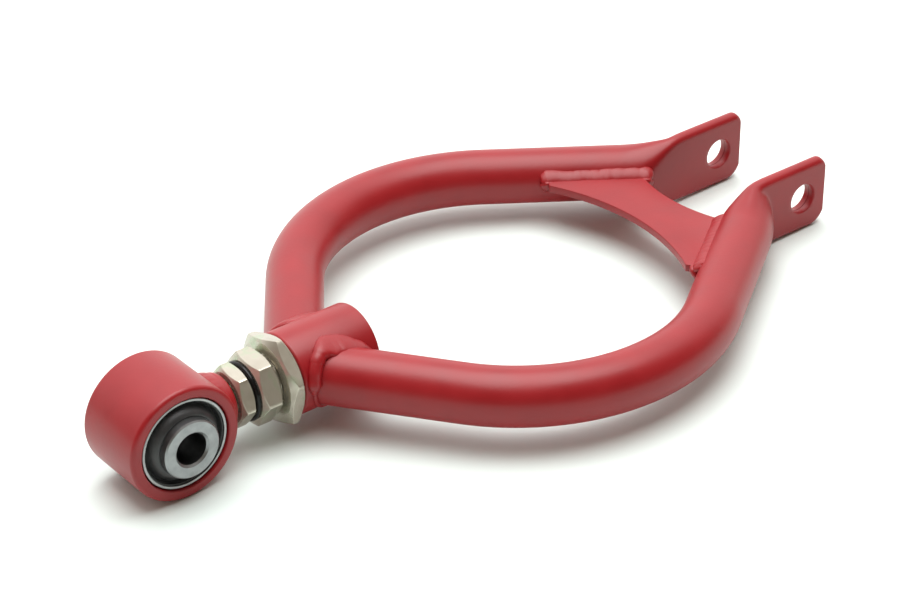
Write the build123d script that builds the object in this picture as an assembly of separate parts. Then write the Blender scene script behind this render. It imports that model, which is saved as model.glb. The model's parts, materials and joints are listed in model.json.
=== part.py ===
from build123d import *
import math
import os

# Adjustable upper control arm: a steel fork of two bent tubes, closed by a gusset,
# with a threaded adjuster and a rubber bush at the other end. Millimetres.
# Origin: centre of the bush bore. +X runs to the clevis bore, +Y along both bolts, +Z up.

os.makedirs("parts", exist_ok=True)

# Bolts and running fits
bolt_diameter = 12.0
bolt_hole_clearance = 0.3      # on the diameter, in the bush sleeve and in the ears
thread_clearance = 0.05        # radial, between a male thread's crest and its bore
rubber_clearance = 0.05        # radial, between the bush rubber and the inner sleeve
chamfer_slope = math.tan(math.radians(30))

# Arm layout
eye_to_clevis = 287.4          # bush bore to clevis bore
leave_angle = 53.5             # tube's first straight run, from +X
converge_angle = 35.0          # tube's second straight run, back towards the middle
bend_radius = 76.7             # centreline radius of the one big bend
tube_diameter = 22.2
tube_wall = 2.8

# Threaded barrel
barrel_length = 33.6
barrel_diameter = 32.0
barrel_edge = 0.8
tube_root_back = 5.8           # from the barrel's face to where the tube lines cross
barrel_weld_leg = 2.8

# Ears, pressed flat from the tube ends
clevis_gap = 42.8
ear_thickness = 2 * tube_wall
ear_height = 29.6
ear_tip = 12.2                 # clevis bore to the end of the ear
ear_top_radius = 3.5
ear_bottom_radius = 6.0
ear_root_back = 25.4           # clevis bore to where the tube line meets the ear's middle
ear_flat_back = 18.0           # clevis bore to where the ear is fully flat
round_end_back = 16.0          # along X, from the ear root to the end of the round tube
press_width = 16.6             # section halfway through the pressed transition
press_height = 23.6
press_turn = 0.76              # share of the converge angle still left at that section
ply_gap = 0.4                  # between the two walls where they are pressed together

# Gusset plate
gusset_top = 4.0
gusset_thickness = 3.2
gusset_front_back = 66.1       # clevis bore to the middle of the plate's front edge
gusset_width = 20.6            # along X, at the middle
gusset_front_radius = 89.0
gusset_rear_radius = 62.0
gusset_tip_width = 5.6         # of the plate's cut-off front tips, out from the tube
gusset_weld_radius = 4.4
gusset_weld_overrun = 4.0      # past the plate's rear corners

# Bush housing and bush
housing_wall = 4.3
housing_length = 31.4
housing_edge = 1.6
bush_diameter = 36.0
shell_wall = 1.6
shell_length = 29.8
inner_sleeve_diameter = 22.6
inner_sleeve_length = 39.2
inner_sleeve_edge = 0.5
rubber_lip_length = 28.6       # across the two lips that touch the shell
rubber_hump_length = 33.0      # across the two humps at the inner sleeve
rubber_moat_length = 21.0      # across the bottoms of the two moats
rubber_lip_width = 1.0
rubber_moat_width = 1.6

# Stud and adjuster
neck_diameter = 21.0
neck_reach = 4.1               # out from the housing, along X
neck_weld_leg = 2.4
stud_diameter = 14.0
stud_nut_gap = 1.0             # from the neck to the stud lock nut
stud_nut_length = 6.0
stud_nut_flats = 21.0
stud_nut_turn = 7.4            # degrees from +Y to one corner
seal_thickness = 1.7
seal_diameter = 22.9
sleeve_hex_length = 8.4
sleeve_hex_flats = 25.0
sleeve_hex_turn = 5.2
sleeve_thread_diameter = 20.0
sleeve_thread_length = 31.6
stud_reach = 30.0              # thread of the stud inside the sleeve
thread_shown = 1.5             # between the adjuster's hexagon and the barrel lock nut
barrel_nut_length = 6.2
barrel_nut_flats = 32.0
barrel_nut_turn = 43.8
thread_end_chamfer = 1.2
bore_chamfer = 0.9
hex_face_share = 0.94          # chamfer circle on a hex face, as a share of the flats

# Derived places
tube_radius = tube_diameter / 2
ear_mid_y = (clevis_gap + ear_thickness) / 2
ear_root_x = eye_to_clevis - ear_root_back
ear_flat_x = eye_to_clevis - ear_flat_back
ear_end_x = eye_to_clevis + ear_tip
bolt_hole_radius = (bolt_diameter + bolt_hole_clearance) / 2
gusset_front_x = eye_to_clevis - gusset_front_back
gusset_rear_x = gusset_front_x + gusset_width
bush_radius = bush_diameter / 2
housing_radius = bush_radius + housing_wall
shell_bore_radius = bush_radius - shell_wall
inner_sleeve_radius = inner_sleeve_diameter / 2
neck_radius = neck_diameter / 2
stud_radius = stud_diameter / 2
neck_end = housing_radius + neck_reach
stud_nut_front = neck_end + stud_nut_gap
seal_front = stud_nut_front + stud_nut_length
sleeve_front = seal_front + seal_thickness
sleeve_shoulder = sleeve_front + sleeve_hex_length
sleeve_back = sleeve_shoulder + sleeve_thread_length
sleeve_thread_radius = sleeve_thread_diameter / 2
stud_back = sleeve_front + stud_reach
barrel_nut_front = sleeve_shoulder + thread_shown
barrel_front = barrel_nut_front + barrel_nut_length
barrel_back = barrel_front + barrel_length
barrel_radius = barrel_diameter / 2
tube_root_x = barrel_front + tube_root_back
through = 3 * eye_to_clevis    # longer than anything it cuts


def heading(angle):
    """Unit vector in the XY plane, angle in degrees from +X towards +Y."""
    return Vector(math.cos(math.radians(angle)), math.sin(math.radians(angle)), 0)


def section_plane(centre, angle):
    """Plane across the tube at centre; its x runs sideways and its y runs up."""
    return Plane(origin=centre, x_dir=heading(angle + 90), z_dir=heading(angle))


def x_cylinder(radius, start, end):
    """Solid cylinder about the X axis."""
    return extrude(Plane.YZ.offset(start) * Circle(radius), end - start)


def y_cylinder(radius, length, x=0.0):
    """Solid cylinder along Y, centred on the XZ plane."""
    return Pos(x, 0, 0) * Rot(90, 0, 0) * Cylinder(radius, length)


def turned(*profile):
    """Solid turned about the X axis from (x, radius) points."""
    return revolve(make_face(Polyline(*profile, close=True)), Axis.X)


def turned_about_y(*profile):
    """Solid turned about the Y axis from (radius, y) points."""
    return revolve(make_face(Polyline(*profile, close=True)), Axis.Y)


# Tube geometry on the +Y side

run_in = Vector(tube_root_x, 0)
run_out = Vector(ear_root_x, ear_mid_y)
leave_slope = math.tan(math.radians(leave_angle))
converge_slope = math.tan(math.radians(converge_angle))
corner_x = (run_out.Y + converge_slope * run_out.X + leave_slope * run_in.X) / (leave_slope + converge_slope)
corner = Vector(corner_x, leave_slope * (corner_x - run_in.X))
round_end = run_out - heading(-converge_angle) * (round_end_back / math.cos(math.radians(converge_angle)))


def tube_sweep(radius):
    """Round part of the tube, from the barrel's axis to where the pressing starts."""
    path = FilletPolyline(run_in, corner, round_end, radius=bend_radius)
    return sweep(section_plane(run_in, leave_angle) * Circle(radius), path)


def press_sections(inset):
    """Round, half pressed and flat sections, each inset by a wall thickness."""
    turn = converge_angle * press_turn
    inner_edge = Vector((round_end.X + ear_flat_x) / 2 - press_width / 4, clevis_gap / 2)
    middle = inner_edge + heading(90 - turn) * (press_width / 2)
    flat = Vector(ear_flat_x, ear_mid_y)
    flat_width = max(ear_thickness - 2 * inset, ply_gap)
    sizes = [
        (round_end, -converge_angle, 2 * (tube_radius - inset), 2 * (tube_radius - inset)),
        (middle, -turn, press_width - 2 * inset, press_height - 2 * inset),
        (flat, 0, flat_width, ear_height - 2 * inset),
    ]
    sections = []
    for centre, angle, width, height in sizes:
        rounding = 0.49 * min(width, height)
        sections.append(section_plane(centre, angle) * RectangleRounded(width, height, rounding))
    return sections


def ear_corner(radius, up):
    """What is cut from the ear's tip to round its upper (up = 1) or lower (up = -1) corner."""
    block = Pos(ear_end_x, ear_mid_y, up * ear_height / 2) * Box(2 * radius, 2 * ear_thickness, 2 * radius)
    centre = Pos(ear_end_x - radius, ear_mid_y, up * (ear_height / 2 - radius))
    return block - centre * Rot(90, 0, 0) * Cylinder(radius, 2 * ear_thickness)


def tube_outside():
    """Tube with its pressed ear, without its bore or bolt hole."""
    sections = press_sections(0)
    ear = extrude(sections[-1], ear_end_x - ear_flat_x)
    ear -= ear_corner(ear_top_radius, 1)
    ear -= ear_corner(ear_bottom_radius, -1)
    return tube_sweep(tube_radius) + loft(sections) + ear


def tube_inside():
    """The tube's bore, closing to a slit where the walls are pressed together."""
    return tube_sweep(tube_radius - tube_wall) + loft(press_sections(tube_wall))


def bent_tube():
    """Hollow tube, coped to the barrel, with its ear drilled."""
    tube = tube_outside() - tube_inside()
    tube -= x_cylinder(barrel_radius, 0, eye_to_clevis / 2)
    return tube - y_cylinder(bolt_hole_radius, through, eye_to_clevis)


def barrel():
    """Threaded barrel that both tubes are welded to; the bore takes the adjuster's thread."""
    bore = sleeve_thread_radius + thread_clearance
    return turned(
        (barrel_front, bore + bore_chamfer),
        (barrel_front, barrel_radius - barrel_edge),
        (barrel_front + barrel_edge, barrel_radius),
        (barrel_back - barrel_edge, barrel_radius),
        (barrel_back, barrel_radius - barrel_edge),
        (barrel_back, bore + bore_chamfer),
        (barrel_back - bore_chamfer, bore),
        (barrel_front + bore_chamfer, bore),
    )


def barrel_weld():
    """Bead round the tube where it meets the barrel."""
    across = section_plane(run_in, leave_angle)
    collar = extrude(across * Circle(tube_radius + barrel_weld_leg), 2 * barrel_diameter)
    inside = extrude(across * Circle(tube_radius), 2 * barrel_diameter)
    near = x_cylinder(barrel_radius + barrel_weld_leg, barrel_front + barrel_edge, barrel_back - barrel_edge)
    own_side = Pos(0, through / 2, 0) * Box(through, through, through)
    return (collar & near & own_side) - inside - x_cylinder(barrel_radius, 0, eye_to_clevis / 2)


def run_point(station, offset, z=0.0):
    """Point back from the ear root by station along the tube, and offset towards the middle."""
    back = heading(-converge_angle) * station
    inwards = heading(90 - converge_angle) * offset
    return run_out - back - inwards + Vector(0, 0, z)


def run_station(offset, centre_x, radius, sign):
    """Station at which a line that runs inside the tube's axis by offset meets a circle on the X axis."""
    gap = run_point(0, offset) - Vector(centre_x, 0)
    middle = gap.dot(heading(-converge_angle))
    return middle + sign * math.sqrt(middle ** 2 - gap.dot(gap) + radius ** 2)


def front_tip_station():
    """Station at which the plate's front tips are cut off."""
    offset = math.sqrt(tube_radius ** 2 - gusset_top ** 2) + gusset_tip_width
    return run_station(offset, gusset_front_x - gusset_front_radius, gusset_front_radius, -1)


def gusset_plate():
    """Plate between the tubes, with a hollow arc at the front and at the rear."""
    station = front_tip_station()
    points = [run_out, run_point(station, 0), run_point(station, tube_radius + 2 * gusset_tip_width)]
    mirrored = [Vector(point.X, -point.Y) for point in reversed(points)]
    outline = make_face(Polyline(*points, *mirrored, close=True))
    outline -= Pos(gusset_front_x - gusset_front_radius, 0) * Circle(gusset_front_radius)
    outline -= Pos(gusset_rear_x + gusset_rear_radius, 0) * Circle(gusset_rear_radius)
    plate = extrude(Pos(0, 0, gusset_top - gusset_thickness) * outline, gusset_thickness)
    outside = tube_outside()
    return plate - outside - mirror(outside, about=Plane.XZ)


def gusset_weld(level, side):
    """Bead along the plate's edge against the tube, above (side = 1) or below (side = -1) the level."""
    offset = math.sqrt(tube_radius ** 2 - level ** 2)
    front = front_tip_station()
    corner_station = run_station(offset, gusset_rear_x + gusset_rear_radius, gusset_rear_radius, 1)
    rear = corner_station - gusset_weld_overrun
    plane = Plane(origin=run_point(rear, offset, level), z_dir=-heading(-converge_angle))
    bead = extrude(plane * Circle(gusset_weld_radius), front - rear)
    run = section_plane(run_point(2 * front, 0), -converge_angle) * Circle(tube_radius)
    outside = Pos(0, 0, level + side * gusset_weld_radius) * Box(through, through, 2 * gusset_weld_radius)
    return (bead & outside) - extrude(run, 4 * front)


def housing():
    """Round eye that the bush is pressed into."""
    half = housing_length / 2
    eye = y_cylinder(housing_radius, housing_length)
    eye = fillet(eye.edges().filter_by(GeomType.CIRCLE), housing_edge)
    return eye - y_cylinder(bush_radius, 4 * half)


def stud():
    """Plain neck against the housing, then the thread that runs into the sleeve."""
    body = turned(
        (0, 0),
        (0, neck_radius),
        (neck_end, neck_radius),
        (neck_end, stud_radius),
        (stud_back - thread_end_chamfer, stud_radius),
        (stud_back, stud_radius - thread_end_chamfer),
        (stud_back, 0),
    )
    return body - y_cylinder(housing_radius, through)


def housing_weld():
    """Fillet weld round the neck, against the housing."""
    ring = turned(
        (0, neck_radius),
        (0, neck_radius + neck_weld_leg),
        (housing_radius + 1, neck_radius + neck_weld_leg),
        (neck_end - 0.4, neck_radius + 0.6),
        (neck_end - 0.4, neck_radius),
    )
    return ring - y_cylinder(housing_radius, through)


def outer_shell():
    """Steel shell of the bush, pressed into the housing."""
    return y_cylinder(bush_radius, shell_length) - y_cylinder(shell_bore_radius, 2 * shell_length)


def rubber():
    """Rubber of the bush, with a lip, a moat and a hump on each face."""
    inside = inner_sleeve_radius + rubber_clearance
    lip = shell_bore_radius - rubber_lip_width
    moat = lip - rubber_moat_width
    half = [
        (inside, rubber_hump_length / 2),
        ((inside + moat) / 2, (2 * rubber_hump_length + rubber_moat_length) / 6),
        (moat, rubber_moat_length / 2),
        (lip - rubber_moat_width / 2, rubber_moat_length / 2),
        (lip, rubber_lip_length / 2),
        (shell_bore_radius, rubber_lip_length / 2),
    ]
    return turned_about_y(*half, *[(r, -y) for r, y in reversed(half)])


def inner_sleeve():
    """Steel sleeve that the bolt clamps in its bracket."""
    half = inner_sleeve_length / 2
    profile = [
        (bolt_hole_radius, half - inner_sleeve_edge),
        (bolt_hole_radius + inner_sleeve_edge, half),
        (inner_sleeve_radius - inner_sleeve_edge, half),
        (inner_sleeve_radius, half - inner_sleeve_edge),
    ]
    return turned_about_y(*profile, *[(r, -y) for r, y in reversed(profile)])


def hexagon(start, end, flats, turn):
    """Hexagonal body about X with 30 degree chamfers on both faces."""
    corner_radius = flats / math.sqrt(3)
    face_radius = flats / 2 * hex_face_share
    drop = (corner_radius - face_radius) * chamfer_slope
    prism = extrude(Plane.YZ.offset(start) * RegularPolygon(corner_radius, 6, rotation=turn), end - start)
    envelope = turned(
        (start, 0),
        (start, face_radius),
        (start + drop, corner_radius),
        (end - drop, corner_radius),
        (end, face_radius),
        (end, 0),
    )
    return prism & envelope


def countersunk(body, start, end, radius):
    """Body with a bore about X that is chamfered at both ends."""
    bore = turned(
        (start, 0),
        (start, radius + bore_chamfer),
        (start + bore_chamfer, radius),
        (end - bore_chamfer, radius),
        (end, radius + bore_chamfer),
        (end, 0),
    )
    return body - bore


def stud_lock_nut():
    """Nut on the stud that locks it to the sleeve."""
    end = stud_nut_front + stud_nut_length
    nut = hexagon(stud_nut_front, end, stud_nut_flats, stud_nut_turn)
    return countersunk(nut, stud_nut_front, end, stud_radius + thread_clearance)


def barrel_lock_nut():
    """Thin nut on the sleeve that locks it to the barrel."""
    nut = hexagon(barrel_nut_front, barrel_front, barrel_nut_flats, barrel_nut_turn)
    return countersunk(nut, barrel_nut_front, barrel_front, sleeve_thread_radius + thread_clearance)


def seal_ring():
    """Rubber ring between the stud's lock nut and the sleeve."""
    ring = x_cylinder(seal_diameter / 2, seal_front, sleeve_front)
    ring = fillet(ring.edges().filter_by(GeomType.CIRCLE), 0.45 * seal_thickness)
    return ring - x_cylinder(stud_radius + thread_clearance, 0, stud_back)


def adjuster_sleeve():
    """Hexagon, outer thread for the barrel and inner thread for the stud."""
    shank = turned(
        (sleeve_shoulder, 0),
        (sleeve_shoulder, sleeve_thread_radius),
        (sleeve_back - thread_end_chamfer, sleeve_thread_radius),
        (sleeve_back, sleeve_thread_radius - thread_end_chamfer),
        (sleeve_back, 0),
    )
    body = hexagon(sleeve_front, sleeve_shoulder, sleeve_hex_flats, sleeve_hex_turn) + shank
    return countersunk(body, sleeve_front, sleeve_back, stud_radius + thread_clearance)


def write(shape, name):
    """Write one piece to its own file."""
    export_step(shape, f"parts/{name}.step")


rear_tube = bent_tube()
rear_weld = barrel_weld()
gusset_faces = {"top": (gusset_top, 1), "bottom": (gusset_top - gusset_thickness, -1)}

write(housing(), "bush_housing")
write(outer_shell(), "bush_outer_shell")
write(rubber(), "bush_rubber")
write(inner_sleeve(), "bush_inner_sleeve")
write(housing_weld(), "housing_weld")
write(stud(), "threaded_stud")
write(stud_lock_nut(), "stud_lock_nut")
write(seal_ring(), "seal_ring")
write(adjuster_sleeve(), "adjuster_sleeve")
write(barrel_lock_nut(), "barrel_lock_nut")
write(barrel(), "threaded_barrel")
write(rear_tube, "rear_tube")
write(mirror(rear_tube, about=Plane.XZ), "front_tube")
write(rear_weld, "rear_barrel_weld")
write(mirror(rear_weld, about=Plane.XZ), "front_barrel_weld")
write(gusset_plate(), "gusset_plate")
for face, (level, side) in gusset_faces.items():
    bead = gusset_weld(level, side)
    write(bead, f"rear_gusset_weld_{face}")
    write(mirror(bead, about=Plane.XZ), f"front_gusset_weld_{face}")
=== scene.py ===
import itertools
import json
import math

import bmesh
import bpy
import numpy as np
from mathutils import Matrix, Vector, noise


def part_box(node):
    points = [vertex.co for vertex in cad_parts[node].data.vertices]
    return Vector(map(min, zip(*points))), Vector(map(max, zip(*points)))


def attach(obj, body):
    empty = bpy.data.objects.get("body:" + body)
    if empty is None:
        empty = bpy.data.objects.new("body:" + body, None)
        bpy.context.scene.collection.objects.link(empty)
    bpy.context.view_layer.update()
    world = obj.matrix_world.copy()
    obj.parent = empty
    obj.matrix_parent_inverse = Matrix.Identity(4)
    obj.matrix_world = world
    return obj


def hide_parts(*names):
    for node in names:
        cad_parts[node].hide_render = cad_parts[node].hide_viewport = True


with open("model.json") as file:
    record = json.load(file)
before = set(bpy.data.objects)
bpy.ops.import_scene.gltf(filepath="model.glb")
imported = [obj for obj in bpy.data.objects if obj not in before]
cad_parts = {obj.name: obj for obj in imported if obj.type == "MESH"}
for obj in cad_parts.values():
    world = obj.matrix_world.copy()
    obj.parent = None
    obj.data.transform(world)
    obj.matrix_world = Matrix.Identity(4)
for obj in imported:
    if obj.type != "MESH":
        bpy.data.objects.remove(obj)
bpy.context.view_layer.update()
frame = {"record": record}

# Lengths are in millimetres; MM turns them into metres where a mesh is made.
MM = 0.001
TAU = 2 * math.pi


# ---------------------------------------------------------------- places, from the frame

def cad_box(node):
    """Lowest and highest corner of a CAD node, in millimetres."""
    low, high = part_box(node)
    return np.array(low) / MM, np.array(high) / MM


def cad_span(node):
    """Where a CAD node starts and ends along X, in millimetres."""
    low, high = cad_box(node)
    return low[0], high[0]


mounts = {m["name"]: m for m in frame["record"]["mounts"]}
clevis_x = mounts["clevis_bore"]["pos_m"][0] / MM
bolt_hole_radius = mounts["clevis_bore"]["dims"]["r_mm"]
clevis_width = mounts["clevis_bore"]["dims"]["length_mm"]
sleeve_length = mounts["bush_bore"]["dims"]["length_mm"]

barrel_front, barrel_back = cad_span("threaded_barrel")
barrel_radius = cad_box("threaded_barrel")[1][2]
housing_half, housing_radius = cad_box("bush_housing")[1][1:]
shell_half, shell_radius = cad_box("bush_outer_shell")[1][1:]
rubber_radius = cad_box("bush_rubber")[1][2]
inner_sleeve_radius = cad_box("bush_inner_sleeve")[1][2]
stud_end = cad_span("threaded_stud")[1]
neck_radius = cad_box("threaded_stud")[1][2]
ear_end = cad_span("rear_tube")[1]
ear_half_height = cad_box("rear_tube")[1][2]
plate_bottom, plate_top = (corner[2] for corner in cad_box("gusset_plate"))

# Sizes that the frame doesn't give
ear_thickness = 5.6
ear_mid_y = (clevis_width - ear_thickness) / 2
tube_radius = 11.1
tube_root_x = barrel_front + 5.8
leave_angle = math.radians(53.5)
converge_angle = math.radians(35.0)
bend_radius = 76.7
ear_root_x = clevis_x - 25.4
ear_flat_x = clevis_x - 15.0
ear_tip_corners = (3.5, 6.0)        # radii at the top and at the bottom
ear_tip_round = 0.55
round_end_back = 16.0
thread_pitch = 1.5
thread_clearance = 0.05
stud_radius = 7.0
adjuster_thread_radius = 10.0
neck_end = 26.4
adjuster_hex_length = 8.4

# Widths across flats, and the angle of each hexagon's first corner about X, in degrees
stud_nut_flats, stud_nut_angle = 21.0, 7.4
adjuster_flats, adjuster_angle = 25.0, 5.2
barrel_nut_flats, barrel_nut_angle = 32.0, 43.8


# ---------------------------------------------------------------- materials

def new_material(name):
    """Material with a plain Principled shader; returns the material, its tree and the shader."""
    material = bpy.data.materials.new(name)
    material.use_nodes = True
    tree = material.node_tree
    return material, tree, tree.nodes["Principled BSDF"]


def object_coordinates(tree, scale=(1, 1, 1)):
    """Object coordinates in metres, scaled."""
    source = tree.nodes.new("ShaderNodeTexCoord")
    mapping = tree.nodes.new("ShaderNodeMapping")
    mapping.inputs["Scale"].default_value = scale
    tree.links.new(source.outputs["Object"], mapping.inputs["Vector"])
    return mapping.outputs["Vector"]


def noise_texture(tree, coordinates, size_mm, detail=2.0, roughness=0.5):
    """Noise whose features are about size_mm across."""
    node = tree.nodes.new("ShaderNodeTexNoise")
    node.inputs["Scale"].default_value = 1 / (size_mm * MM)
    node.inputs["Detail"].default_value = detail
    node.inputs["Roughness"].default_value = roughness
    tree.links.new(coordinates, node.inputs["Vector"])
    return node.outputs["Fac"]


def ramp(tree, factor, *stops):
    """Colour ramp from (place, colour) stops."""
    node = tree.nodes.new("ShaderNodeValToRGB")
    elements = node.color_ramp.elements
    while len(elements) < len(stops):
        elements.new(0.5)
    for element, (place, colour) in zip(elements, stops):
        element.position = place
        element.color = (*colour, 1)
    tree.links.new(factor, node.inputs["Fac"])
    return node.outputs["Color"]


def spread(tree, factor, low, high):
    """Maps a noise factor's middle range to low..high."""
    node = tree.nodes.new("ShaderNodeMapRange")
    node.inputs["From Min"].default_value = 0.3
    node.inputs["From Max"].default_value = 0.7
    node.inputs["To Min"].default_value = low
    node.inputs["To Max"].default_value = high
    tree.links.new(factor, node.inputs["Value"])
    return node.outputs["Result"]


def bump(tree, height, distance_mm, normal=None):
    """Bump from a height, chained on an earlier normal where there is one."""
    node = tree.nodes.new("ShaderNodeBump")
    node.inputs["Distance"].default_value = distance_mm * MM
    node.inputs["Strength"].default_value = 1.0
    tree.links.new(height, node.inputs["Height"])
    if normal is not None:
        tree.links.new(normal, node.inputs["Normal"])
    return node.outputs["Normal"]


def powder_coat(name, grain=1.0):
    """Satin red powder coat: fine orange peel, faint mottling in colour and gloss."""
    material, tree, shader = new_material(name)
    at = object_coordinates(tree)
    mottle = noise_texture(tree, at, 14, detail=3)
    colour = ramp(tree, mottle, (0.25, (0.270, 0.0050, 0.0085)), (0.75, (0.320, 0.0075, 0.0115)))
    tree.links.new(colour, shader.inputs["Base Color"])
    tree.links.new(spread(tree, mottle, 0.35, 0.41), shader.inputs["Roughness"])
    peel = bump(tree, noise_texture(tree, at, 1.6, detail=1), 0.020 * grain)
    fine = bump(tree, noise_texture(tree, at, 0.35, detail=2), 0.006 * grain, normal=peel)
    tree.links.new(fine, shader.inputs["Normal"])
    shader.inputs["Specular IOR Level"].default_value = 0.48
    return material


def zinc_plate(name):
    """Zinc plate with a warm cream tone, a greenish tint in places and light tool marks."""
    material, tree, shader = new_material(name)
    at = object_coordinates(tree)
    tint = noise_texture(tree, at, 9, detail=2)
    colour = ramp(
        tree, tint,
        (0.30, (0.46, 0.42, 0.345)), (0.58, (0.53, 0.49, 0.41)),
        (0.65, (0.46, 0.50, 0.37)), (0.72, (0.51, 0.47, 0.39)),
    )
    tree.links.new(colour, shader.inputs["Base Color"])
    shader.inputs["Metallic"].default_value = 0.72
    gloss = noise_texture(tree, at, 2.5, detail=2)
    tree.links.new(spread(tree, gloss, 0.19, 0.27), shader.inputs["Roughness"])
    marks = noise_texture(tree, object_coordinates(tree, (1, 12, 12)), 6, detail=3)
    marked = bump(tree, marks, 0.0025)
    grain = noise_texture(tree, at, 1.2, detail=1)
    tree.links.new(bump(tree, grain, 0.0025, normal=marked), shader.inputs["Normal"])
    return material


def machined_steel(name, bright, dull):
    """Faced steel with fine turning rings about the Y axis."""
    material, tree, shader = new_material(name)
    at = object_coordinates(tree)
    split = tree.nodes.new("ShaderNodeSeparateXYZ")
    tree.links.new(at, split.inputs["Vector"])
    flat = tree.nodes.new("ShaderNodeCombineXYZ")
    tree.links.new(split.outputs["X"], flat.inputs["X"])
    tree.links.new(split.outputs["Z"], flat.inputs["Z"])
    distance = tree.nodes.new("ShaderNodeVectorMath")
    distance.operation = "LENGTH"
    tree.links.new(flat.outputs["Vector"], distance.inputs[0])
    rings = tree.nodes.new("ShaderNodeTexNoise")
    rings.noise_dimensions = "1D"
    rings.inputs["Scale"].default_value = 4200
    rings.inputs["Detail"].default_value = 3
    tree.links.new(distance.outputs["Value"], rings.inputs["W"])
    colour = ramp(tree, noise_texture(tree, at, 4, detail=4), (0.3, dull), (0.7, bright))
    tree.links.new(colour, shader.inputs["Base Color"])
    shader.inputs["Metallic"].default_value = 1.0
    tree.links.new(spread(tree, rings.outputs["Fac"], 0.33, 0.46), shader.inputs["Roughness"])
    tree.links.new(bump(tree, rings.outputs["Fac"], 0.012), shader.inputs["Normal"])
    return material


def moulded_rubber(name, roughness, tone, shine=0.5):
    """Black rubber with a fine moulded skin and a little bloom."""
    material, tree, shader = new_material(name)
    shader.inputs["Specular IOR Level"].default_value = shine
    at = object_coordinates(tree)
    bloom = noise_texture(tree, at, 5, detail=5, roughness=0.6)
    clean, bloomed = (tone, tone, tone * 1.05), (tone * 1.9, tone * 1.9, tone * 1.95)
    colour = ramp(tree, bloom, (0.35, clean), (0.75, bloomed))
    tree.links.new(colour, shader.inputs["Base Color"])
    tree.links.new(spread(tree, bloom, roughness, roughness + 0.12), shader.inputs["Roughness"])
    skin = noise_texture(tree, at, 0.6, detail=3)
    tree.links.new(bump(tree, skin, 0.02), shader.inputs["Normal"])
    return material


def pale_floor(name):
    """White studio sweep with the faintest unevenness."""
    material, tree, shader = new_material(name)
    tone = noise_texture(tree, object_coordinates(tree), 60, detail=3)
    colour = ramp(tree, tone, (0.3, (0.755, 0.835, 0.805)), (0.7, (0.775, 0.855, 0.825)))
    tree.links.new(colour, shader.inputs["Base Color"])
    shader.inputs["Roughness"].default_value = 0.6
    shader.inputs["Specular IOR Level"].default_value = 0.25
    return material


red = powder_coat("powder_red")
red_weld = powder_coat("powder_red_weld", grain=1.8)
zinc = zinc_plate("zinc_plate")
sleeve_steel = machined_steel("sleeve_steel", (0.34, 0.345, 0.35), (0.25, 0.255, 0.26))
# Painted shade: a much darker steel that stands in for the shade inside the sleeve's bore
bore_painted_shade_steel = machined_steel("bore_painted_shade_steel", (0.11, 0.11, 0.11), (0.07, 0.07, 0.07))
shell_steel = machined_steel("shell_steel", (0.42, 0.42, 0.42), (0.28, 0.28, 0.28))
rubber = moulded_rubber("bush_rubber_black", 0.34, 0.024)
seal_rubber = moulded_rubber("seal_black", 0.16, 0.003, shine=0.25)


# ---------------------------------------------------------------- mesh kit

def mesh_in_mm(name, points, faces):
    """Mesh from points in millimetres."""
    mesh = bpy.data.meshes.new(name)
    mesh.from_pydata([tuple(p) for p in np.asarray(points, float) * MM], [], faces)
    return mesh


def linked(name, data):
    """Object that holds the data, linked to the scene."""
    thing = bpy.data.objects.new(name, data)
    bpy.context.scene.collection.objects.link(thing)
    return thing


def place_piece(name, mesh, body, replaced):
    """Object of a mesh that rides on a body and the CAD nodes that it replaces."""
    piece = linked(name, mesh)
    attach(piece, body)
    if replaced:
        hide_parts(*replaced)
    return piece


def make_piece(name, points, faces, material, body, replaced=(), sharp=38):
    """Piece from points in millimetres, smooth shaded but for its sharp edges."""
    mesh = mesh_in_mm(name, points, faces)
    mesh.materials.append(material)
    finish_mesh(mesh, sharp)
    return place_piece(name, mesh, body, replaced)


def finish_mesh(mesh, sharp):
    """Merges doubled points, points the faces outwards and marks the sharp edges."""
    work = bmesh.new()
    work.from_mesh(mesh)
    bmesh.ops.remove_doubles(work, verts=work.verts, dist=0.0005 * MM)
    bmesh.ops.recalc_face_normals(work, faces=work.faces)
    work.to_mesh(mesh)
    work.free()
    mesh.shade_smooth()
    mesh.set_sharp_from_angle(angle=math.radians(sharp))


def grid_faces(rows, around, wrap_rows=False):
    """Quads of a grid of rings, each closed on itself."""
    faces = []
    for i in range(rows if wrap_rows else rows - 1):
        a, b = i * around, (i + 1) % rows * around
        for j in range(around):
            k = (j + 1) % around
            faces.append((a + j, a + k, b + k, b + j))
    return faces


def closed_grid(rings):
    """Points and faces of a tube of rings, closed by a fan at each end."""
    rings = np.asarray(rings, float)
    rows, around = rings.shape[:2]
    points = np.vstack([rings.reshape(-1, 3), rings[0].mean(0), rings[-1].mean(0)])
    faces = grid_faces(rows, around)
    first, last = rows * around, rows * around + 1
    for j in range(around):
        k = (j + 1) % around
        faces.append((first, k, j))
        faces.append((last, (rows - 1) * around + j, (rows - 1) * around + k))
    return points, faces


def wrapped_grid(rings):
    """Points and faces of rings in which the last is joined to the first."""
    rings = np.asarray(rings, float)
    rows, around = rings.shape[:2]
    return rings.reshape(-1, 3), grid_faces(rows, around, wrap_rows=True)


def circle_angles(count, start=0.0):
    """Angles evenly spaced round a circle."""
    return start + np.arange(count) * TAU / count


def ring_about_x(x, radius, angles):
    """Points about the X axis; x and radius are one value or one for each angle."""
    return np.stack([x + 0 * angles, radius * np.cos(angles), radius * np.sin(angles)], 1)


def turned(profile, axis, segments):
    """Points and faces of a closed (along, radius) profile turned about the X or the Y axis."""
    angles = circle_angles(segments)
    rings = np.array([ring_about_x(along, radius, angles) for along, radius in profile])
    return wrapped_grid(rings if axis == "x" else rings[:, :, [1, 0, 2]])


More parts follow.
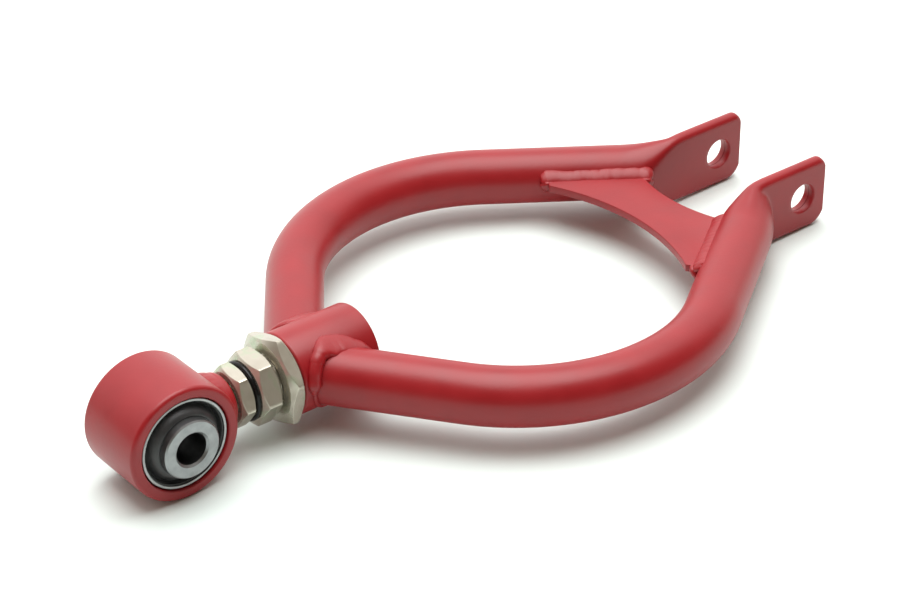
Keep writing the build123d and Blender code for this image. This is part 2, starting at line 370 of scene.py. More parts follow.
def rounded(profile, radius, steps):
    """Closed polygon with every corner rounded; radius is one value or one for each corner."""
    corners = [np.array(p, float) for p in profile]
    radii = radius if isinstance(radius, (list, tuple)) else [radius] * len(corners)
    result = []
    for i, corner in enumerate(corners):
        before = corners[i - 1] - corner
        after = corners[(i + 1) % len(corners)] - corner
        if radii[i] <= 0:
            result.append(tuple(corner))
            continue
        u, v = before / np.linalg.norm(before), after / np.linalg.norm(after)
        half = math.acos(max(-1.0, min(1.0, float(u @ v)))) / 2
        room = 0.49 * min(np.linalg.norm(before), np.linalg.norm(after))
        reach = min(radii[i] / math.tan(half), room)
        arc_radius = reach * math.tan(half)
        middle = corner + (u + v) / np.linalg.norm(u + v) * (arc_radius / math.sin(half))
        start, end = corner + u * reach - middle, corner + v * reach - middle
        for k in range(steps + 1):
            t = k / steps
            spoke = start * (1 - t) + end * t
            result.append(tuple(middle + spoke / np.linalg.norm(spoke) * arc_radius))
    return result


def smooth_step(t):
    """Goes from 0 to 1 with level ends."""
    t = np.clip(t, 0, 1)
    return t * t * (3 - 2 * t)


def band(values, rise, rise_over, fall, fall_over):
    """1 between a soft rise and a soft fall, and 0 beyond them."""
    return smooth_step((values - rise) / rise_over) * (1 - smooth_step((values - fall) / fall_over))


def bell(values, middle, width):
    """Bell curve of height 1."""
    return np.exp(-((values - middle) / width) ** 2)


def wobble(values, size, seed):
    """Smooth noise between about -1 and 1 along a list of places."""
    return np.array([noise.noise(Vector((v / size, seed * 7.13, seed * 3.7))) for v in values]) * 2


# ---------------------------------------------------------------- bush end

def bush_housing():
    """Eye with rounded rims."""
    bore_round, rim_round = 0.7, 1.7
    profile = [(-housing_half, shell_radius), (-housing_half, housing_radius),
               (housing_half, housing_radius), (housing_half, shell_radius)]
    outline = rounded(profile, [bore_round, rim_round, rim_round, bore_round], 7)
    points, faces = turned(outline, "y", 200)
    return make_piece("bush_housing_eye", points, faces, red, "eye", ["bush_housing"], sharp=50)


def bush_shell():
    """Thin shell with a lead-in chamfer that leaves a groove inside the eye's rim."""
    inside, outside = rubber_radius + 0.02, shell_radius - 0.06
    chamfer, lead_in = 0.5, 1.4
    profile = [(-shell_half, inside), (-shell_half, outside - chamfer), (lead_in - shell_half, outside),
               (shell_half - lead_in, outside), (shell_half, outside - chamfer), (shell_half, inside)]
    points, faces = turned(rounded(profile, 0.25, 3), "y", 180)
    return make_piece("bush_shell", points, faces, shell_steel, "eye", ["bush_outer_shell"])


def bush_rubber_ring():
    """Rubber with a ragged flash at the shell, a moat and a hump that climbs the inner sleeve."""
    inside = inner_sleeve_radius + 0.05
    hump = [(16.4, 0), (16.5, 0.5), (16.2, 1.1), (15.4, 1.9), (14.2, 2.6), (13.0, 3.2)]
    moat = [(12.3, 3.6), (12.1, 3.95), (12.5, 4.25), (13.2, 4.4), (13.9, 4.6), (14.1, 4.8)]
    side = [(along, inside + out) for along, out in hump + moat]
    side.append((14.15, rubber_radius - 0.02))
    profile = side + [(-along, radius) for along, radius in reversed(side)]
    points, faces = turned(profile, "y", 220)
    flash, flash_height = inside + 4.2, 0.35
    for point in points:
        radius = math.hypot(point[0], point[2])
        if radius > flash:
            angle = math.atan2(point[2], point[0])
            share = (radius - flash) / (rubber_radius - flash)
            ragged = noise.noise(Vector((math.cos(angle) * 9, math.sin(angle) * 9, 2.5)))
            point[1] += math.copysign(flash_height * ragged * (1 - share), point[1])
    return make_piece(
        "bush_rubber_ring", points, faces, rubber, "eye", ["bush_rubber"], sharp=60
    )


def bush_sleeve():
    """Thick inner sleeve with chamfered bore and rim, with painted shade inside the bore: the bore's faces
    get a much darker steel.
    """
    half = sleeve_length / 2
    bore_chamfer, rim_chamfer = 0.8, 0.5
    profile = [(-half, bolt_hole_radius), (-half, inner_sleeve_radius),
               (half, inner_sleeve_radius), (half, bolt_hole_radius)]
    outline = rounded(profile, [bore_chamfer, rim_chamfer, rim_chamfer, bore_chamfer], 1)
    points, faces = turned(outline, "y", 160)
    piece = make_piece(
        "bush_sleeve_steel", points, faces, sleeve_steel, "bush_sleeve",
        ["bush_inner_sleeve"], sharp=25
    )
    # Painted shade: the faces inside the bore take the darker steel
    piece.data.materials.append(bore_painted_shade_steel)
    for polygon in piece.data.polygons:
        if math.hypot(polygon.center.x, polygon.center.z) < (bolt_hole_radius + 0.1) * MM:
            polygon.material_index = 1
    return piece


def neck_and_weld():
    """Neck, the fillet weld that flows from the eye to it, and its end that closes on the thread."""
    angles = circle_angles(160)
    foot_radius, toe_radius, bulge = neck_radius + 1.9, neck_radius + 0.5, 0.45
    toe_x = neck_end - 2.6
    ripple = 0.03 * wobble(np.cos(angles) * 4, 1.0, 3) + 0.006 * np.sin(angles * 34)
    foot_height = np.sin(angles) * foot_radius * (1 + ripple)
    foot_x = np.sqrt(np.maximum(housing_radius ** 2 - foot_height ** 2, 0)) - 0.5
    rings = []
    for t in np.linspace(0, 1, 23):
        radius = toe_radius + (foot_radius - toe_radius) * (1 - t) ** 2.2
        radius += bulge * math.sin(math.pi * min(1.0, t * 1.1))
        x = foot_x + (toe_x - foot_x) * t ** 0.8
        rings.append(ring_about_x(x, radius * (1 + ripple * (1 - t)), angles))
    inside_thread = neck_radius - stud_radius + 1.0
    for back, drop in ((1.9, -0.3), (1.3, 0.0), (0.7, 0.5), (0.2, 1.2), (0.0, 2.0), (0.0, inside_thread)):
        rings.append(ring_about_x(neck_end - back, neck_radius - drop, angles))
    points, faces = closed_grid(rings)
    return make_piece(
        "housing_neck_weld", points, faces, red_weld, "eye", ["housing_weld"], sharp=60
    )


# ---------------------------------------------------------------- threads and nuts

def thread_depth(x, angles, hand):
    """Share of a thread's depth below its crest, round the screw at x; hand is 1 for right, -1 for left."""
    crest_share, flank_share = 0.14, 0.66
    phase = ((x - hand * thread_pitch * angles / TAU) / thread_pitch) % 1
    return np.clip((np.abs(phase - 0.5) * 2 - crest_share) / flank_share, 0, 1)


def threaded_rod(radius, start, end, hand, bore=0.0):
    """Points and faces of a male thread about X, its crest at radius and its end chamfered."""
    rings_per_pitch, chamfer = 10, 1.1
    depth = 0.58 * thread_pitch
    angles = circle_angles(72)
    count = int(math.ceil((end - start) / thread_pitch * rings_per_pitch)) + 1
    rings = []
    for x in np.linspace(start, end, count):
        threaded = radius - depth * thread_depth(x, angles, hand)
        rings.append(ring_about_x(x, np.minimum(threaded, radius - chamfer + (end - x)), angles))
    if not bore:
        return closed_grid(rings)
    rings += [ring_about_x(x, bore, angles) for x in (end, start)]
    return wrapped_grid(rings)


def stud_thread():
    """Left-hand thread of the stud."""
    points, faces = threaded_rod(stud_radius, neck_end - 1.0, stud_end, -1)
    return make_piece("stud_thread", points, faces, zinc, "eye", ["threaded_stud"], sharp=30)


def barrel_bore_thread():
    """Right-hand thread inside the barrel, as a liner whose crests stand at the bore."""
    rings_per_pitch, inset, liner = 8, 0.9, 0.4
    crest = adjuster_thread_radius + thread_clearance
    depth = 0.5 * thread_pitch
    outer = crest + depth + liner
    angles = circle_angles(96)
    start, end = barrel_front + inset, barrel_back - inset
    count = int((end - start) / thread_pitch * rings_per_pitch) + 1
    rings = []
    for x in np.linspace(start, end, count):
        rings.append(ring_about_x(x, crest + depth * thread_depth(x, angles, 1), angles))
    rings += [ring_about_x(x, outer, angles) for x in (end, start)]
    points, faces = wrapped_grid(rings)
    return make_piece("barrel_bore_thread", points, faces, zinc, "arm", sharp=30)


def hexagon_radius(angles, flats, turn):
    """Distance to a hexagon's side, with its corners eased."""
    local = (angles - turn) % (TAU / 6) - TAU / 12
    sharp = flats / 2 / np.cos(local)
    limit = flats / math.sqrt(3) - 0.2
    return np.where(sharp > limit, limit + (sharp - limit) * 0.35, sharp)


def hexagon_body(start, end, flats, turn_degrees, bore):
    """Points and faces of a hexagon about X with a bore and 30 degree chamfers on both faces."""
    turn = math.radians(turn_degrees)
    points_per_side = 24
    angles = circle_angles(6 * points_per_side, turn)
    side = hexagon_radius(angles, flats, turn)
    countersink, ease = 0.9, 0.12
    face_radius = 0.93 * flats / 2
    chamfer = (side - face_radius) * math.tan(math.radians(30))
    profile = [
        (countersink, bore),
        (0.6 * ease, bore + countersink - ease),
        (0.0, bore + countersink + 0.5 * ease),
        (0.0, face_radius - ease),
        (0.25 * ease, face_radius + ease),
        (chamfer - 0.3 * ease, side - ease),
        (chamfer + 1.2 * ease, side),
    ]
    rings = [ring_about_x(start + depth, radius, angles) for depth, radius in profile]
    rings += [ring_about_x(end - depth, radius, angles) for depth, radius in reversed(profile)]
    return wrapped_grid(rings)


def zinc_hexagon(name, span, flats, turn_degrees, bore_radius, body, node):
    """Hexagon piece in zinc plate."""
    points, faces = hexagon_body(*span, flats, turn_degrees, bore_radius + thread_clearance)
    return make_piece(name, points, faces, zinc, body, [node], sharp=18)


def stud_nut():
    """Nut on the stud."""
    span = cad_span("stud_lock_nut")
    return zinc_hexagon(
        "stud_nut_hex", span, stud_nut_flats, stud_nut_angle, stud_radius, "stud_nut", "stud_lock_nut"
    )


def barrel_nut():
    """Thin nut against the barrel."""
    span = cad_span("barrel_lock_nut")
    return zinc_hexagon(
        "barrel_nut_hex", span, barrel_nut_flats, barrel_nut_angle, adjuster_thread_radius,
        "barrel_nut", "barrel_lock_nut"
    )


def adjuster():
    """Adjuster's hexagon, and its right-hand outer thread as a second piece."""
    front, back = cad_span("adjuster_sleeve")
    hex_end = front + adjuster_hex_length
    zinc_hexagon(
        "adjuster_hex", (front, hex_end), adjuster_flats, adjuster_angle, stud_radius,
        "adjuster", "adjuster_sleeve"
    )
    bore = stud_radius + thread_clearance
    points, faces = threaded_rod(adjuster_thread_radius, hex_end - 0.5, back, 1, bore)
    make_piece("adjuster_thread", points, faces, zinc, "adjuster", sharp=30)


def seal():
    """Round-edged rubber ring."""
    front, back = cad_span("seal_ring")
    rim = cad_box("seal_ring")[1][2]
    bore = stud_radius + thread_clearance
    bore_round, rim_round = 0.2, 0.85
    profile = [(front, bore), (front, rim), (back, rim), (back, bore)]
    outline = rounded(profile, [bore_round, rim_round, rim_round, bore_round], 6)
    points, faces = turned(outline, "x", 144)
    return make_piece(
        "seal_ring_black", points, faces, seal_rubber, "seal", ["seal_ring"], sharp=60
    )


# ---------------------------------------------------------------- barrel, tubes and welds

def barrel():
    """Barrel with eased ends."""
    bore = adjuster_thread_radius + 0.9        # the crests of barrel_bore_thread() stand inside this
    profile = [(barrel_front, bore), (barrel_front, barrel_radius),
               (barrel_back, barrel_radius), (barrel_back, bore)]
    points, faces = turned(rounded(profile, [0.3, 0.9, 1.0, 0.5], 6), "x", 180)
    return make_piece("barrel_body", points, faces, red, "arm", ["threaded_barrel"], sharp=50)


def heading(angle):
    """Unit vector in the XY plane, at an angle from +X."""
    return np.array([math.cos(angle), math.sin(angle), 0.0])


# Axis of the +Y tube: straight out of the barrel, one bend, and straight on to the ear
leave_slope, converge_slope = math.tan(leave_angle), math.tan(converge_angle)
run_in = np.array([tube_root_x, 0.0, 0.0])
run_out = np.array([ear_root_x, ear_mid_y, 0.0])
rise = ear_mid_y + converge_slope * ear_root_x + leave_slope * tube_root_x
corner_x = rise / (leave_slope + converge_slope)
bend_corner = np.array([corner_x, leave_slope * (corner_x - tube_root_x), 0.0])
bend_reach = bend_radius * math.tan((leave_angle + converge_angle) / 2)
bend_start = bend_corner - heading(leave_angle) * bend_reach
bend_end = bend_corner + heading(-converge_angle) * bend_reach
round_end = run_out - heading(-converge_angle) * round_end_back / math.cos(converge_angle)

ring_angles = circle_angles(144, TAU / 288)
quarter_turn = np.arctan2(np.sin(ring_angles), np.abs(np.cos(ring_angles)))        # up from level
outer_side = np.where(np.cos(ring_angles) >= 0, 1, -1)
ear_radius = ear_thickness / 2


def spokes(angle, angles):
    """Unit vectors across a tube that heads along angle."""
    outward = heading(angle + math.pi / 2)
    return np.cos(angles)[:, None] * outward + np.sin(angles)[:, None] * np.array([0, 0, 1.0])


def round_ring(centre, angle):
    """Round section across the tube."""
    return centre + tube_radius * spokes(angle, ring_angles)


def reach_to_barrel(points, radius):
    """Distance from each point along the tube's first run to a cylinder round the barrel's axis."""
    return (np.sqrt(radius ** 2 - points[:, 2] ** 2) - points[:, 1]) / heading(leave_angle)[1]


def flat_ring(x, top, bottom, inset=0.0):
    """Section of the flattened ear at x: two flat sides and two folds, spaced evenly along its girth."""
    half = ear_radius - inset
    straight = np.where(quarter_turn > 0, top, bottom) - half
    reach = np.abs(quarter_turn) / (math.pi / 2) * (straight + half * math.pi / 2)
    fold = np.clip((reach - straight) / half, 0, math.pi / 2)
    y = ear_mid_y + outer_side * half * np.cos(fold)
    z = np.sign(quarter_turn) * (np.minimum(reach, straight) + half * np.sin(fold))
    return np.stack([np.full(len(y), float(x)), y, z], 1)


def distances_along(path):
    """Distance of each point from the path's start."""
    return np.concatenate([[0], np.cumsum(np.linalg.norm(np.diff(path, axis=0), axis=1))])


def resampled(path, count):
    """Points evenly spaced along a path."""
    along = distances_along(path)
    places = np.linspace(0, along[-1], count)
    return np.stack([np.interp(places, along, path[:, k]) for k in range(path.shape[1])], 1)


def softened(path, spread_steps):
    """Path with its corners rounded by a running average, its two ends kept in line."""
    pad = 14
    before = path[0] - (path[1] - path[0]) * np.arange(pad, 0, -1)[:, None]
    after = path[-1] + (path[-1] - path[-2]) * np.arange(1, pad + 1)[:, None]
    long = np.vstack([before, path, after])
    weights = np.exp(-0.5 * (np.arange(-pad, pad + 1) / spread_steps) ** 2)
    weights /= weights.sum()
    return np.stack([np.convolve(long[:, k], weights, "valid") for k in range(path.shape[1])], 1)


def bezier(a, b, c, t):
    """Point on the quadratic curve from a to c that b pulls."""
    return a * (1 - t) ** 2 + b * 2 * t * (1 - t) + c * t * t


def pressed_rings():
    """Rings from the round end to the flat: each line along the tube runs on until it meets the die."""
    count, pull, early = 64, 0.55, 1.12
    outer_softness, inner_softness = 1.9, 6.5
    start = round_ring(round_end, -converge_angle)
    end = flat_ring(ear_flat_x, ear_half_height, ear_half_height)
    lines = []
    for a, b, level in zip(start, end, np.cos(ring_angles)):
        meet = a[0] + (a[1] - b[1]) / converge_slope
        meet = min(meet, ear_root_x) + 0.5 * max(meet - ear_root_x, 0)
        corner = np.array([meet, b[1]])
        first, last = a[:2], b[:2]
        control = first + heading(-converge_angle)[:2] * pull * np.linalg.norm(corner - first)
        curve = [bezier(first, control, corner, t) for t in np.linspace(0, 1, 40)]
        curve += [corner * (1 - t) + last * t for t in np.linspace(0, 1, 12)[1:]]
        softness = outer_softness + (inner_softness - outer_softness) * (1 - level) / 2
        path = softened(resampled(np.array(curve), count), softness)
        height = a[2] + (b[2] - a[2]) * smooth_step(np.linspace(0, 1, count) * early)
        lines.append(np.concatenate([path, height[:, None]], 1))
    return list(np.array(lines).transpose(1, 0, 2))[1:]


def ear_half_heights(x):
    """Top and bottom half height of the ear at x, with its rounded tip corners."""
    halves = []
    for radius in ear_tip_corners:
        into = np.clip(x - (ear_end - radius), 0, radius)
        halves.append(ear_half_height - radius + math.sqrt(radius ** 2 - into ** 2))
    return halves


def tube_rings():
    """All the rings of the +Y tube, from inside the barrel's wall to the ear's end."""
    rings = []
    saddle = round_ring(run_in, leave_angle)
    along = heading(leave_angle)
    reach = reach_to_barrel(saddle, barrel_radius - 1.2)
    clear = np.linalg.norm(bend_start - run_in)
    for t in np.linspace(0, 1, 14):
        level = reach * (1 - t) + clear * t
        rings.append(saddle + along * level[:, None])
    sweep = leave_angle + converge_angle
    centre = bend_start + heading(leave_angle - math.pi / 2) * bend_radius
    for t in np.linspace(0, 1, 64)[1:]:
        angle = leave_angle - sweep * t
        rings.append(round_ring(centre + heading(angle + math.pi / 2) * bend_radius, angle))
    for t in np.linspace(0, 1, 16)[1:]:
        rings.append(round_ring(bend_end * (1 - t) + round_end * t, -converge_angle))
    rings += pressed_rings()
    tip_length = max(ear_tip_corners)
    tip_start = ear_end - tip_length
    tip = tip_start + (tip_length - ear_tip_round) * np.sin(np.linspace(0, math.pi / 2, 12))
    for x in np.concatenate([np.linspace(ear_flat_x, tip_start, 10)[1:], tip[1:]]):
        rings.append(flat_ring(x, *ear_half_heights(x)))
    top, bottom = ear_half_heights(ear_end - ear_tip_round)
    for back, inset in ((0.25, 0.1), (0.08, 0.27), (0.0, 0.6)):
        rings.append(flat_ring(ear_end - back, top - inset * 2, bottom - inset * 2, inset))
    return rings


def cut(piece, *cutters):
    """Boolean difference with each (points, faces) cutter, applied."""
    for points, faces in cutters:
        mesh = mesh_in_mm("cutter", points, faces)
        finish_mesh(mesh, 30)
        tool = linked("cutter", mesh)
        modifier = piece.modifiers.new("cut", "BOOLEAN")
        modifier.operation = "DIFFERENCE"
        modifier.solver = "EXACT"
        modifier.object = tool
        bpy.context.view_layer.update()
        evaluated = piece.evaluated_get(bpy.context.evaluated_depsgraph_get())
        result = bpy.data.meshes.new_from_object(evaluated)
        piece.modifiers.clear()
        piece.data = result
        bpy.data.objects.remove(tool)
        bpy.data.meshes.remove(mesh)


def block(low, high):
    """Points and faces of a box, as a cutter."""
    points = list(itertools.product(*zip(low, high)))
    faces = [(0, 1, 3, 2), (4, 6, 7, 5), (0, 4, 5, 1), (2, 3, 7, 6), (0, 2, 6, 4), (1, 5, 7, 3)]
    return points, faces


def bolt_hole_cutter(side):
    """Spool that cuts the ear's hole with eased edges and a fine seam between the two plies."""
    ease, seam, seam_depth, outside = 0.55, 0.14, 0.35, 6.0
    middle = ear_thickness / 2
    profile = [
        (-outside, bolt_hole_radius + ease * 2),
        (-middle - 0.02, bolt_hole_radius + ease),
        (-middle + ease * 0.3, bolt_hole_radius + ease * 0.3),
        (-middle + ease, bolt_hole_radius),
        (-seam, bolt_hole_radius),
        (0, bolt_hole_radius + seam_depth),
    ]
    profile += [(-along, radius) for along, radius in reversed(profile[:-1])]
    angles = circle_angles(72)
    rings = []
    for along, radius in profile:
        y = np.full(len(angles), side * (ear_mid_y + along))
        rings.append(np.stack([clevis_x + radius * np.cos(angles), y, radius * np.sin(angles)], 1))
    return closed_grid(rings)


def tube(name, side, node):
    """Bent tube with its pressed ear, drilled, on the +Y (side = 1) or the -Y side."""
    points, faces = closed_grid(tube_rings())
    points[:, 1] *= side
    piece = make_piece(name, points, faces, red, "arm", [node], sharp=50)
    y = side * ear_mid_y
    seam_depth, seam_half, above_bottom, below_top = 1.0, 0.1, 7.5, 5.5
    slit_low = (ear_end - seam_depth, y - seam_half, above_bottom - ear_half_height)
    slit_high = (ear_end + seam_depth, y + seam_half, ear_half_height - below_top)
    cut(piece, bolt_hole_cutter(side), block(slit_low, slit_high))
    piece.data.shade_smooth()
    piece.data.set_sharp_from_angle(angle=math.radians(42))
    return piece


def unit_rows(vectors):
    """Each row at length 1."""
    return vectors / np.linalg.norm(vectors, axis=1)[:, None]


def rope(centres, outward, radius, flatness, closed=True):
    """Rings of a bead along centres; it bulges outward by its radius times its flatness."""
    centres = np.asarray(centres)
    if closed:
        tangent = unit_rows(np.roll(centres, -1, 0) - np.roll(centres, 1, 0))
    else:
        tangent = unit_rows(np.gradient(centres, axis=0))
    outward = unit_rows(outward - tangent * (outward * tangent).sum(1)[:, None])
    sideways = np.cross(tangent, outward)
    flatness = np.broadcast_to(flatness, len(centres))
    angles = circle_angles(28)
    rings = []
    for centre, out, across, size, height in zip(centres, outward, sideways, radius, flatness):
        rings.append(centre + size * (
            np.cos(angles)[:, None] * out * height + np.sin(angles)[:, None] * across
        ))
    return rings


def ripples(lengths, spacing, depth, seed):
    """Multiplier that gives a bead its stacked crescents and its uneven size."""
    drift = spacing * 0.35 * wobble(lengths, spacing * 4, seed)
    phase = ((lengths + drift) / spacing) % 1
    crescent = 1 - depth * (1 - phase) ** 2
    return crescent * (1 + 0.045 * wobble(lengths, spacing * 6, seed + 5))


def barrel_weld(name, side, node, thick, seed):
    """Bead along the joint between a tube and the barrel, heavy over the top and the eye side."""
    angles = circle_angles(480)
    outside = spokes(leave_angle, angles)
    start = run_in + outside * (tube_radius + 0.2)
    joint = start + heading(leave_angle) * reach_to_barrel(start, barrel_radius)[:, None]
    outward = unit_rows(outside + unit_rows(joint * [0, 1, 1]))
    lengths = distances_along(joint)

    # Round the tube: 0 degrees on the eye side, 90 on top, 180 on the window side, negative underneath
    degrees = np.degrees(angles)
    signed = (degrees + 180) % 360 - 180
    heavy = band(signed, -9, 22, 104, 50) * (0.86 + 0.16 * bell(degrees, 62, 20))
    drip = 0.16 * bell(signed, -4, 3.5)
    broad = band(signed, 58, 34, 120, 40)
    closing = smooth_step(np.minimum(degrees, 360 - degrees) / 14)
    lumps = 1 + 0.06 * wobble(lengths, 3.2, seed) * closing
    size = 0.95 + thick * heavy + thick * drip + 2.3 * broad
    size = size * ripples(lengths, 2.3, 0.02, seed) * lumps

    lift = 0.15 + 0.22 * thick * heavy
    shift = 0.35 * thick * heavy
    centres = joint + outward * lift[:, None] + outside * shift[:, None]
    points, faces = wrapped_grid(rope(centres, outward, size, 0.86 - 0.60 * broad))
    points[:, 0] = np.clip(points[:, 0], barrel_front + 0.15, barrel_back + 0.6)
    points[:, 1] *= side
    return make_piece(name, points, faces, red_weld, "arm", [node], sharp=70)


# ---------------------------------------------------------------- gusset

# Both edges are hollow arcs about centres on the X axis
gusset_front_radius, gusset_rear_radius = 89.0, 62.0
gusset_front_x = clevis_x - 66.1
gusset_rear_x = gusset_front_x + 20.6
gusset_front_centre = gusset_front_x - gusset_front_radius
gusset_rear_centre = gusset_rear_x + gusset_rear_radius
gusset_tip_width = 5.6


def run_point(station, offset, z=0.0):
    """Point back from the ear root along the tube, and offset towards the middle."""
    back = heading(-converge_angle) * station
    inwards = heading(math.pi / 2 - converge_angle) * offset
    return run_out - back - inwards + np.array([0, 0, z])


def run_station(offset, centre_x, radius, sign):
    """Station at which a line inside the tube's axis by offset meets a circle on the X axis."""
    gap = run_point(0, offset) - np.array([centre_x, 0, 0])
    middle = gap @ heading(-converge_angle)
    return middle + sign * math.sqrt(middle ** 2 - gap @ gap + radius ** 2)


top_offset = math.sqrt(tube_radius ** 2 - plate_top ** 2)
tip_offset = top_offset + gusset_tip_width
front_station = run_station(tip_offset, gusset_front_centre, gusset_front_radius, -1)
rear_station = run_station(top_offset, gusset_rear_centre, gusset_rear_radius, 1)


def arc_between(centre_x, radius, start, end, steps):
    """Points of the circle about (centre_x, 0) between two points on it."""
    a = math.atan2(start[1], start[0] - centre_x) % TAU
    b = math.atan2(end[1], end[0] - centre_x) % TAU
    if abs(b - a) > math.pi:
        a = a - TAU if a > math.pi else a
        b = b - TAU if b > math.pi else b
    return [(centre_x + radius * math.cos(t), radius * math.sin(t)) for t in np.linspace(a, b, steps)]


def gusset():
    """Plate with both hollow arcs and eased edges, its sides running into the tubes."""
    buried = tube_radius * 0.75
    edge_round = 0.32
    tip = run_point(front_station, tip_offset)
    tip_side = run_point(front_station, buried)
    rear = run_point(run_station(buried, gusset_rear_centre, gusset_rear_radius, 1), buried)
    mirror = np.array([1, -1, 1])
    outline = arc_between(gusset_front_centre, gusset_front_radius, tip * mirror, tip, 72)
    outline += [(tip_side[0], tip_side[1])]
    outline += arc_between(gusset_rear_centre, gusset_rear_radius, rear, rear * mirror, 48)
    outline += [(tip_side[0], -tip_side[1])]
    work = bmesh.new()
    ring = [work.verts.new((x * MM, y * MM, plate_bottom * MM)) for x, y in outline]
    face = work.faces.new(ring)
    raised = bmesh.ops.extrude_face_region(work, geom=[face])["geom"]
    lifted = [v for v in raised if isinstance(v, bmesh.types.BMVert)]
    bmesh.ops.translate(work, verts=lifted, vec=(0, 0, (plate_top - plate_bottom) * MM))
    bmesh.ops.recalc_face_normals(work, faces=work.faces)
    rims = [e for e in work.edges if e.calc_face_angle(0) > math.radians(60)]
    bmesh.ops.bevel(work, geom=rims, offset=edge_round * MM, segments=3, profile=0.5, affect="EDGES")
    mesh = bpy.data.meshes.new("gusset_sheet")
    work.to_mesh(mesh)
    work.free()
    mesh.materials.append(red)
    mesh.shade_smooth()
    mesh.set_sharp_from_angle(angle=math.radians(40))
    return place_piece("gusset_sheet", mesh, "arm", ["gusset_plate"])


def gusset_bead(name, side, face, node, rear_overrun, seed):
    """Flat fillet weld between the plate's face and the tube, lumpy where it starts and stops."""
    level = plate_top if face > 0 else plate_bottom
    offset = math.sqrt(tube_radius ** 2 - level ** 2)
    front_overrun, half_width, flatness = 3.2, 3.7, 0.46
    stations = np.linspace(rear_station - rear_overrun, front_station + front_overrun, 300)
    tube_normal = -heading(math.pi / 2 - converge_angle) * offset + np.array([0, 0, level])
    tube_normal /= tube_radius
    outward = tube_normal + np.array([0, 0, 1.0 * face])
    outward /= np.linalg.norm(outward)
    across = np.cross(heading(-converge_angle), outward)
    sway = 0.30 * wobble(stations, 6.0, seed) + 0.12 * wobble(stations, 1.7, seed + 3)
    centres = []
    for station, shift in zip(stations, sway):
        centres.append(run_point(station, offset, level) + outward * 0.15 + across * shift)
    size = half_width * ripples(stations, 2.6, 0.004, seed)
    size = size * (1 + 0.03 * wobble(stations, 2.4, seed + 7))
    from_rear, from_front = stations - stations[0], stations[-1] - stations
    from_end = np.minimum(from_rear, from_front)
    closing = np.sqrt(np.clip(1 - (1 - np.clip(from_end / 3.0, 0, 1)) ** 2, 0.002, 1))
    lump = 1 + 0.10 * bell(from_rear, 3.2, 2.0) - 0.05 * bell(from_rear, 5.6, 0.9)
    lump = lump + 0.10 * bell(from_front, 3.4, 2.2)
    points, faces = closed_grid(rope(centres, outward, size * closing * lump, flatness, closed=False))
    points[:, 1] *= side
    return make_piece(name, points, faces, red_weld, "arm", [node], sharp=70)


# ---------------------------------------------------------------- build

bush_housing()
bush_shell()
bush_rubber_ring()
bush_sleeve()
neck_and_weld()
stud_thread()
stud_nut()
seal()
adjuster()
barrel_nut()
barrel()
barrel_bore_thread()
# Label, side, how thick the barrel's bead is, how far the gusset's beads pass its rear edge, noise seed
for label, side, thick, overrun, seed in (("rear", 1, 0.35, 4.6, 11), ("front", -1, 1.75, 1.0, 23)):
    tube(f"{label}_bent_tube", side, f"{label}_tube")
    barrel_weld(f"{label}_barrel_bead", side, f"{label}_barrel_weld", thick, seed)
    gusset_bead(f"{label}_gusset_bead_top", side, 1, f"{label}_gusset_weld_top", overrun, seed + 1)
    gusset_bead(f"{label}_gusset_bead_bottom", side, -1, f"{label}_gusset_weld_bottom", overrun, seed + 2)
gusset()


# ---------------------------------------------------------------- camera, floor and light

def studio_floor():
    """Pale floor that touches the eye and the lower edges of both ears."""
    contact_x = ear_end - max(ear_tip_corners)
    slope = (housing_radius - ear_half_height) / contact_x
    level = -housing_radius * math.sqrt(1 + slope ** 2)
    reach = 6000.0
    corners = [(-reach, -reach), (reach, -reach), (reach, reach), (-reach, reach)]
    points = [(x, y, level + slope * x) for x, y in corners]
    mesh = mesh_in_mm("studio_floor", points, [(0, 1, 2, 3)])
    mesh.materials.append(pale_floor("floor_white"))
    floor = linked("studio_floor", mesh)


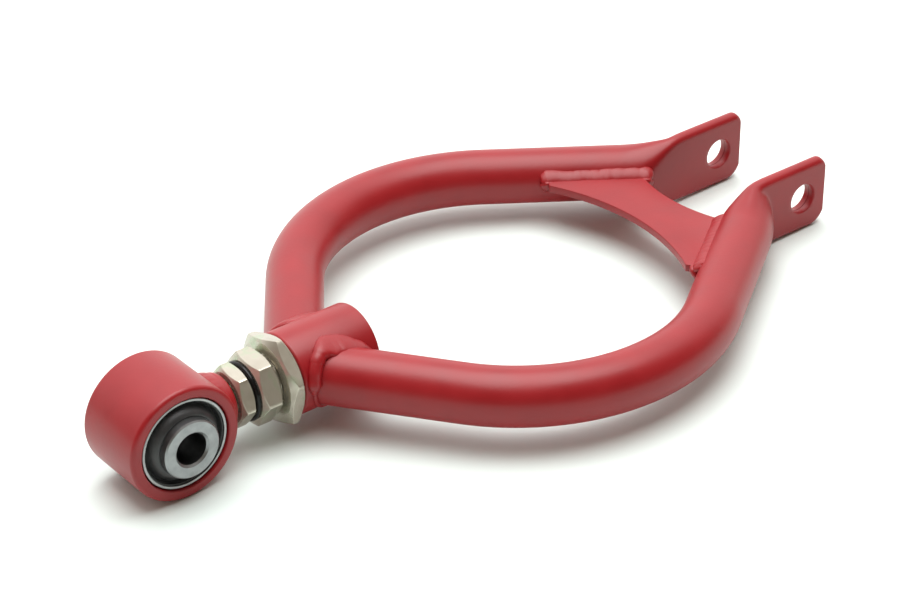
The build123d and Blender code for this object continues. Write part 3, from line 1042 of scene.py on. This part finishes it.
def camera():
    """Long lens from the front left, looking down at the arm."""
    azimuth, elevation, roll = math.radians(-38.58), math.radians(31.46), math.radians(-0.34)
    distance, aside, lift, look_x = 1052.4, -16.2, -5.66, 150.0
    level_reach = math.cos(elevation)
    back = Vector((math.sin(azimuth) * level_reach, -math.cos(azimuth) * level_reach, math.sin(elevation)))
    right = Vector((math.cos(azimuth), math.sin(azimuth), 0))
    up = back.cross(right)
    place = Vector((look_x, 0, 0)) + back * distance + right * aside + up * lift
    rolled_right = right * math.cos(roll) + up * math.sin(roll)
    rolled_up = up * math.cos(roll) - right * math.sin(roll)
    data = bpy.data.cameras.new("camera")
    data.lens = 111.47
    data.sensor_width = 36.0
    data.clip_start = 0.01
    viewer = linked("camera", data)
    turn = Matrix((rolled_right, rolled_up, back)).transposed().to_4x4()
    viewer.matrix_world = Matrix.Translation(place * MM) @ turn
    bpy.context.scene.camera = viewer


def soft_box(name, place, aim, side, watts):
    """Square soft box at place, pointing at aim, in metres."""
    data = bpy.data.lights.new(name, "AREA")
    data.shape = "RECTANGLE"
    data.size = data.size_y = side
    data.energy = watts
    lamp = linked(name, data)
    lamp.location = place
    lamp.rotation_euler = (Vector(aim) - Vector(place)).to_track_quat("-Z", "Y").to_euler()


def studio_light():
    """Soft box straight overhead, a bright wall behind the arm and a dark room in front of it."""
    world = bpy.data.worlds.new("studio")
    world.use_nodes = True
    tree = world.node_tree
    background = tree.nodes["Background"]
    direction = tree.nodes.new("ShaderNodeTexCoord")
    behind = tree.nodes.new("ShaderNodeVectorMath")
    behind.operation = "DOT_PRODUCT"
    behind.inputs[1].default_value = (0.35, 0.75, 0.56)        # towards the middle of the wall
    tree.links.new(direction.outputs["Generated"], behind.inputs[0])
    wall = ramp(
        tree, behind.outputs["Value"],
        (0.0, (0.125, 0.10, 0.076)), (0.25, (0.24, 0.215, 0.185)),
        (0.60, (0.95, 0.95, 0.93)), (0.95, (1.0, 1.0, 1.0)),
    )
    tree.links.new(wall, background.inputs["Color"])
    background.inputs["Strength"].default_value = 1.5
    bpy.context.scene.world = world
    soft_box("overhead", (0.15, 0.06, 1.3), (0.15, 0.0, 0), 1.25, 21.5)


studio_floor()
camera()
studio_light()
bpy.context.scene.view_settings.view_transform = "Standard"
